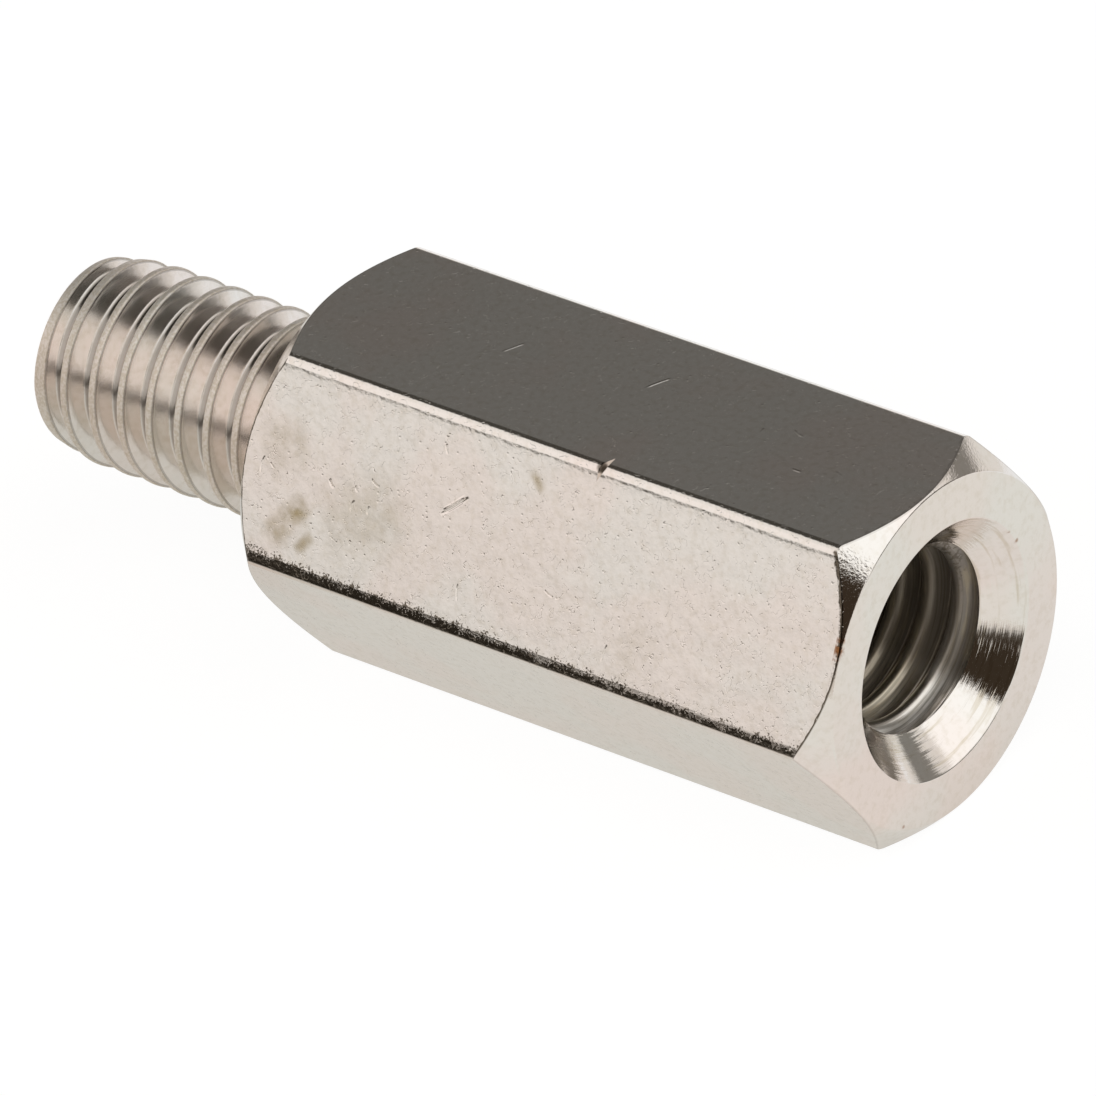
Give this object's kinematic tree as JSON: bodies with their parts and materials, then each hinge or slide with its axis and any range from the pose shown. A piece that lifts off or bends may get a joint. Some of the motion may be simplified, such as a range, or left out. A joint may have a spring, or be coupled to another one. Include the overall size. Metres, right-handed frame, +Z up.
{
  "type": "hex standoff",
  "caption": "Hexagonal metal spacer with a threaded stud on one end and a blind tapped hole in the other, to hold two plates or boards apart.",
  "frame": {"origin": "on the surface that the part lies on, under the centre of its bounding box", "axes": "+X along the axis, from the stud to the tapped end; +Z up, square to the flat that it lies on; two opposite long edges lie furthest out along Y"},
  "size_m": [0.0294, 0.0114, 0.01],
  "materials": {
    "plated_steel": "dull nickel plate on drawn hex bar, with small stains, rust spots and scuffed long edges"
  },
  "bodies": {
    "root": {"hex_standoff": "plated_steel"}
  },
  "joints": []
}
